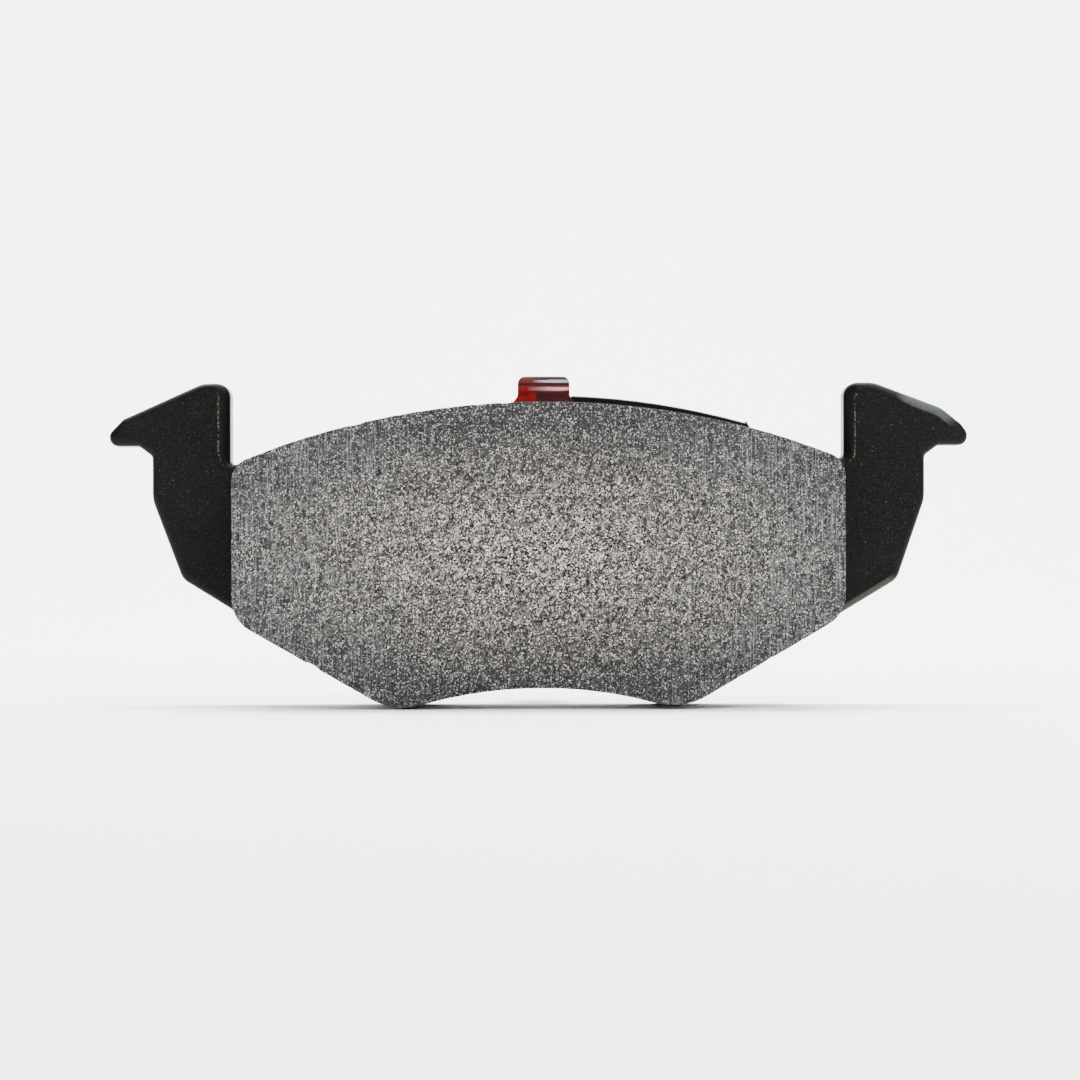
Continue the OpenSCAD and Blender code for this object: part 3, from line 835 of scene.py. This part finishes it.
def make_plate(paint):
    """The stamped plate, with its edge rolled over towards the friction side."""
    loop = spaced(outline_of("backing_plate", PLATE_BACK), PLATE_STEP)
    normals = outward(loop)
    wall = min(abs(x) for x, z in loop if z > PLATE_TOP - WALL_DROP and abs(x) > BLOCK_HALF)
    widths = [roll_width(x, z, wall) for x, z in loop]
    walls = [on_wall(x, z, wall) for x, z in loop]

    # Its paint reads how far round the roll a point is, where the roll is sheared, and where it is coloured
    # lighter grey
    work = bmesh.new()
    roll = work.verts.layers.float.new("roll")
    sheared = work.verts.layers.float.new("sheared")
    edge_marks = work.verts.layers.float.new("edge_marks")
    rings = []
    for step in range(ROLL_STEPS + 1):
        turn = math.pi / 2 * step / ROLL_STEPS
        inwards = drawn_in(loop, normals, widths, 1 - math.sin(turn))
        rings.append(ring(work, inwards, PLATE_FRONT + ROLL_DEPTH * (1 - math.cos(turn))))
        for vert, share, (x, z) in zip(rings[-1], walls, loop):
            vert[roll] = step / ROLL_STEPS
            vert[sheared] = share
            vert[edge_marks] = pale_roll_strips(x, z)
    for y, inset, rolled in ((PLATE_BACK - PLATE_BURR, 0.0, 1.0), (PLATE_BACK, PLATE_BURR, 0.6)):
        rings.append(ring(work, drawn_in(loop, normals, widths, 0.0, inset), y))
        for vert in rings[-1]:
            vert[roll] = rolled
    closed(work, rings)
    made = new_piece("backing_plate_stamped", work, "plate_paint", paint)
    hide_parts("backing_plate")


def make_pegs(paint):
    """The two pegs, half-sheared out of the plate's back, that locate the shim."""
    top = PLATE_BACK + PEG_RISE
    rim, turned = 0.2 * MM, 0.06 * MM
    profile = [(PLATE_BACK - PEG_ROOT, PEG_RADIUS), (top - rim, PEG_RADIUS),
               (top - turned, PEG_RADIUS - turned), (top, PEG_RADIUS - rim)]
    around = [math.tau * i / PEG_POINTS for i in range(PEG_POINTS)]
    work = bmesh.new()
    for x, z in PEG_PLACES:
        closed(work, [ring(work, [(x + radius * math.cos(a), z + radius * math.sin(a)) for a in around], y)
                      for y, radius in profile])
    new_piece("shim_pegs", work, "plate_paint", paint)


# ---------------------------------------------------------------- retaining spring


def rounded(points, radii):
    """A path through corner points, with each inner corner rounded by its radius."""
    made = [Vector(points[0])]
    for i in range(1, len(points) - 1):
        before, here, after = (Vector(points[j]) for j in (i - 1, i, i + 1))
        u, v = (before - here).normalized(), (after - here).normalized()
        half = u.angle(v) / 2
        radius = radii[i]
        if radius <= 0:
            made.append(here)
            continue
        centre = here + (u + v).normalized() * radius / math.sin(half)
        start = here + u * radius / math.tan(half) - centre
        end = here + v * radius / math.tan(half) - centre
        turn = start.angle_signed(end)
        count = max(3, math.ceil(abs(turn) / BEND_STEP))
        a0 = math.atan2(start.y, start.x)
        made += [centre + radius * Vector((math.cos(a0 - turn * k / count), math.sin(a0 - turn * k / count)))
                 for k in range(count + 1)]
    made.append(Vector(points[-1]))
    return made


def bent_strip(work, path, widths, place):
    """A strip of sheet with softened edges, bent along a flat path; place puts (across, along) in space."""
    sections = []
    for i, point in enumerate(path):
        ahead = path[min(i + 1, len(path) - 1)] - path[max(i - 1, 0)]
        side = Vector((-ahead.y, ahead.x)).normalized()
        half, thick = widths[i] / 2, STRIP / 2
        flat, tall = half - STRIP_SOFT, thick - STRIP_SOFT
        corners = [(flat, thick), (half, tall), (half, -tall), (flat, -thick),
                   (-flat, -thick), (-half, -tall), (-half, tall), (-flat, thick)]
        sections.append([work.verts.new(place(across, point + side * lift)) for across, lift in corners])
    for a, b in zip(sections, sections[1:]):
        for i in range(8):
            face = work.faces.new((a[i], a[(i + 1) % 8], b[(i + 1) % 8], b[i]))
            face.smooth = True
    work.faces.new(sections[0])
    work.faces.new(sections[-1])


def bend_tongue(work, mid):
    """The strap: up the back of the plate, over its edge, and down in front of it as a wider claw."""
    hoop_radius = (PLATE_BACK - PLATE_FRONT) / 2 + STRIP / 2
    hoop_y = (PLATE_BACK + PLATE_FRONT) / 2
    hoop_z = SPRING_TOP - hoop_radius - STRIP / 2
    foot = BLOCK_HIGH[2] + CLAW_CLEAR
    turns = [math.pi * k / HOOP_STEPS for k in range(1, HOOP_STEPS + 1)]
    path = [Vector((mid, z)) for z in (*STRAP_HEIGHTS, hoop_z)]
    path += [Vector((hoop_y + hoop_radius * math.cos(a), hoop_z + hoop_radius * math.sin(a))) for a in turns]
    path += [Vector((hoop_y - hoop_radius, hoop_z + (foot - hoop_z) * k / CLAW_STEPS))
             for k in range(1, CLAW_STEPS + 1)]
    widths = []
    for step, point in enumerate(path, start=-len(STRAP_HEIGHTS)):
        turned = held((step - WIDEN_FROM) / WIDEN_STEPS)
        width = STRAP_WIDTH + (CLAW_WIDTH - STRAP_WIDTH) * (3 * turned ** 2 - 2 * turned ** 3)
        flare = max(0.0, 1.0 - (point.y - foot) / FLARE_HEIGHT) if step >= HOOP_STEPS else 0.0
        widths.append(width + CLAW_FLARE * flare ** 1.6)
    bent_strip(work, path, widths, lambda across, p: (TONGUE_X + across, p.x, p.y))


def bend_finger(work, mid, degrees):
    """One finger: out from the hub and back into the piston, with its tip turned in."""
    corners = [(reach, mid + share * FINGER_LENGTH) for reach, share, _ in FINGER_PATH]
    finger = rounded(corners, [radius for _, _, radius in FINGER_PATH])
    cos, sin = math.cos(math.radians(degrees)), math.sin(math.radians(degrees))
    bent_strip(work, finger, [FINGER_WIDTH] * len(finger), lambda across, p: (
        p.x * cos - across * sin, p.y, p.x * sin + across * cos))


def cut_hub(work):
    """The hub plate, with an ear round each rivet."""
    edge = []
    for a in (math.tau * i / HUB_POINTS for i in range(HUB_POINTS)):
        reach = HUB_RADIUS
        for side in (-1, 1):
            along = side * RIVET_X * math.cos(a)
            under = RIVET_EAR ** 2 - (RIVET_X * math.sin(a)) ** 2
            if under > 0 and along + math.sqrt(under) > reach:
                reach = along + math.sqrt(under)
        edge.append((reach * math.cos(a), reach * math.sin(a)))
    inner = [(x * (1 - HUB_SOFT / HUB_RADIUS), z * (1 - HUB_SOFT / HUB_RADIUS)) for x, z in edge]
    closed(work, [ring(work, inner, PLATE_BACK), ring(work, edge, PLATE_BACK + HUB_SOFT),
                  ring(work, edge, PLATE_BACK + STRIP - HUB_SOFT), ring(work, inner, PLATE_BACK + STRIP)])


def make_spring(lacquer):
    """Hub plate, three sprung fingers for the piston, and the strap that hooks over the plate's edge."""
    mid = PLATE_BACK + STRIP / 2
    work = bmesh.new()
    bend_tongue(work, mid)
    for degrees in FINGER_ANGLES:
        bend_finger(work, mid, degrees)
    cut_hub(work)
    made = new_piece("retaining_spring_formed", work, "spring_lacquer", lacquer)
    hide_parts("retaining_spring")


# ---------------------------------------------------------------- the pad


def dress(node, finish):
    """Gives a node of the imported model, which keeps its shape, its finish."""
    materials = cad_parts[node].data.materials
    materials.clear()
    materials.append(finish)


block_side = pressed_friction("pressed_friction", (0.006, 0.006, 0.006), (0.042, 0.0415, 0.040), 11.0)
make_block(ground_friction(), block_side)
paint = plate_paint()
make_plate(paint)
make_pegs(paint)
make_spring(spring_lacquer())
dress("underlayer", pressed_friction("underlayer_mix", (0.006, 0.0054, 0.0048), (0.032, 0.028, 0.024), 27.0))
dress("adhesive_film", cured_resin("bonding_resin", (0.16, 0.085, 0.03), (0.05, 0.028, 0.012), 0.4))
dress("shim_adhesive", cured_resin("shim_glue", (0.55, 0.50, 0.36), (0.30, 0.27, 0.18), 0.5))
dress("shim_steel", shim_steel_edge())
dress("shim_rubber", shim_rubber_face())
dress("spring_rivets", bright_rivet())


# ---------------------------------------------------------------- studio


def make_floor(finish):
    """Seamless paper: flat under the pad, curving up far behind it and far in front of it."""
    low = cad_box[0][2]
    turns = [math.pi / 2 * k / FLOOR_STEPS for k in range(FLOOR_STEPS + 1)]
    curve = [(FLOOR_TURN * (1 - math.sin(a)), low + FLOOR_TURN * (1 - math.cos(a))) for a in turns]
    path = [(FLOOR_NEAR, low + FLOOR_HEIGHT)]
    path += [(FLOOR_NEAR + y, z) for y, z in reversed(curve)]
    path += [(FLOOR_FAR - y, z) for y, z in curve]
    path.append((FLOOR_FAR, low + FLOOR_HEIGHT))
    work = bmesh.new()
    rows = [[work.verts.new((x, y, z)) for x in (-FLOOR_HALF, FLOOR_HALF)] for y, z in path]
    for a, b in zip(rows, rows[1:]):
        work.faces.new((a[0], a[1], b[1], b[0])).smooth = True
    mesh = bpy.data.meshes.new("studio_floor")
    work.to_mesh(mesh)
    work.free()
    mesh.materials.append(finish)
    floor = bpy.data.objects.new("studio_floor", mesh)
    bpy.context.scene.collection.objects.link(floor)


def make_light(name, place, aim, size, watts):
    """A soft box pointing from place to aim."""
    data = bpy.data.lights.new(name, "AREA")
    data.shape = "RECTANGLE"
    data.size, data.size_y = size
    data.energy = watts
    lamp = bpy.data.objects.new(name, data)
    lamp.location = place
    lamp.rotation_mode = "QUATERNION"
    lamp.rotation_quaternion = (Vector(aim) - Vector(place)).to_track_quat("-Z", "Y")
    bpy.context.scene.collection.objects.link(lamp)


def make_room():
    """Even pale light from all round."""
    world = bpy.data.worlds.new("pale_room")
    world.use_nodes = True
    sky = world.node_tree.nodes["Background"].inputs
    sky["Color"].default_value = (1.0, 1.0, 1.0, 1.0)
    sky["Strength"].default_value = ROOM_LIGHT
    bpy.context.scene.world = world


def make_camera():
    """A long lens square to the friction face."""
    data = bpy.data.cameras.new("view_camera")
    data.sensor_width = SENSOR
    data.lens = SENSOR * VIEW_DISTANCE / VIEW_WIDTH
    data.clip_start, data.clip_end = 0.01, 20.0
    camera = bpy.data.objects.new("view_camera", data)
    camera.location = (VIEW_X, PLATE_FRONT - VIEW_DISTANCE, VIEW_Z)
    camera.rotation_euler = (math.pi / 2, VIEW_ROLL, 0.0)
    bpy.context.scene.collection.objects.link(camera)
    bpy.context.scene.camera = camera


make_floor(studio_paper())
for soft_box in SOFT_BOXES:
    make_light(*soft_box)
make_room()
make_camera()
